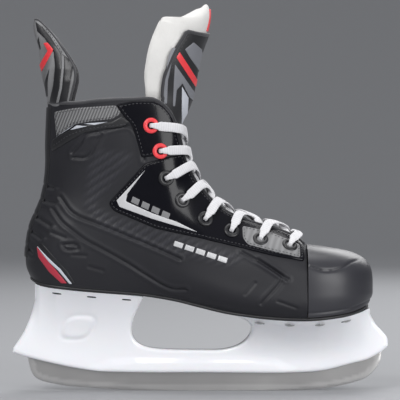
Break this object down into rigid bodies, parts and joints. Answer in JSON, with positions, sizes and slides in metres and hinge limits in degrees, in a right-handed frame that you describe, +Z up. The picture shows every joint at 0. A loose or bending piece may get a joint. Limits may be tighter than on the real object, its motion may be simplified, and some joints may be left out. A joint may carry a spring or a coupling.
{
  "type": "ice hockey skate",
  "caption": "Right ice hockey skate: stiff black laced boot with toe cap, felt tongue and tendon guard, riveted to a white blade holder with a steel runner.",
  "frame": {"origin": "on the ice, under the middle of the skate's length and width", "axes": "+X towards the toe, +Y towards the inner (medial) side of the right foot, +Z up"},
  "size_m": [0.3048, 0.0946, 0.3129],
  "materials": {
    "shell": "moulded satin black synthetic with fine carbon-look texture and relief lines",
    "patent": "black patent synthetic leather with a clear gloss",
    "cuff_mesh": "grey ribbed mesh with diagonal stripes",
    "toe_cap": "satin charcoal moulded plastic, slightly lighter on top",
    "outsole": "black moulded sole plate",
    "board": "pressed fibre lasting board",
    "liner": "dark grey brushed lining over foam",
    "holder": "white glossy moulded nylon",
    "runner_steel": "ground stainless steel, satin with fine lines along its length",
    "zinc": "plated steel",
    "tongue_cover": "black synthetic with grey and red panels",
    "felt": "thick off-white wool felt",
    "guard_shell": "silver-grey and black moulded synthetic with a red chevron",
    "lace": "white flat woven lace",
    "eyelet_red": "red enamelled metal",
    "eyelet_black": "black enamelled metal"
  },
  "bodies": {
    "boot": {"quarter_lateral": "shell", "eyestay_lateral": "patent", "collar_lateral": "patent", "mesh_insert_lateral": "cuff_mesh", "quarter_medial": "shell", "eyestay_medial": "patent", "collar_medial": "patent", "mesh_insert_medial": "cuff_mesh", "eyelet_lateral_1": "eyelet_red", "eyelet_lateral_2": "eyelet_red", "eyelet_lateral_3": "eyelet_black", "eyelet_lateral_4": "eyelet_black", "eyelet_lateral_5": "eyelet_black", "eyelet_lateral_6": "eyelet_black", "eyelet_lateral_7": "eyelet_black", "eyelet_lateral_8": "eyelet_black", "eyelet_medial_1": "eyelet_red", "eyelet_medial_2": "eyelet_red", "eyelet_medial_3": "eyelet_black", "eyelet_medial_4": "eyelet_black", "eyelet_medial_5": "eyelet_black", "eyelet_medial_6": "eyelet_black", "eyelet_medial_7": "eyelet_black", "eyelet_medial_8": "eyelet_black", "rivet_lateral_1": "zinc", "rivet_medial_1": "zinc", "rivet_lateral_2": "zinc", "rivet_medial_2": "zinc", "rivet_lateral_3": "zinc", "rivet_medial_3": "zinc", "rivet_lateral_4": "zinc", "rivet_medial_4": "zinc", "rivet_lateral_5": "zinc", "rivet_medial_5": "zinc", "rivet_lateral_6": "zinc", "rivet_medial_6": "zinc", "rivet_lateral_7": "zinc", "rivet_medial_7": "zinc", "toe_cap": "toe_cap", "outsole": "outsole", "lasting_board": "board", "footbed": "liner", "liner": "liner", "blade_holder": "holder", "steel_runner": "runner_steel", "hook_bolt_rear": "zinc", "hook_nut_rear": "zinc", "hook_bolt_front": "zinc", "hook_nut_front": "zinc", "tongue_cover_lower": "tongue_cover", "tongue_felt_lower": "felt", "lace": "lace"},
    "tongue_top": {"tongue_cover_upper": "tongue_cover", "tongue_felt_upper": "felt"},
    "tendon_guard": {"tendon_guard": "guard_shell", "tendon_guard_pad": "liner"}
  },
  "joints": [
    {"name": "tongue_flex", "type": "hinge", "parent": "boot", "child": "tongue_top", "pos_m": [-0.014, 0, 0.217], "axis": [0, 1, 0], "range_deg": [-3, 40], "stiffness_Nm_per_rad": 0.3},
    {"name": "guard_flex", "type": "hinge", "parent": "boot", "child": "tendon_guard", "pos_m": [-0.1235, 0, 0.2332], "axis": [0, 1, 0], "range_deg": [-20, 6], "stiffness_Nm_per_rad": 0.8}
  ]
}
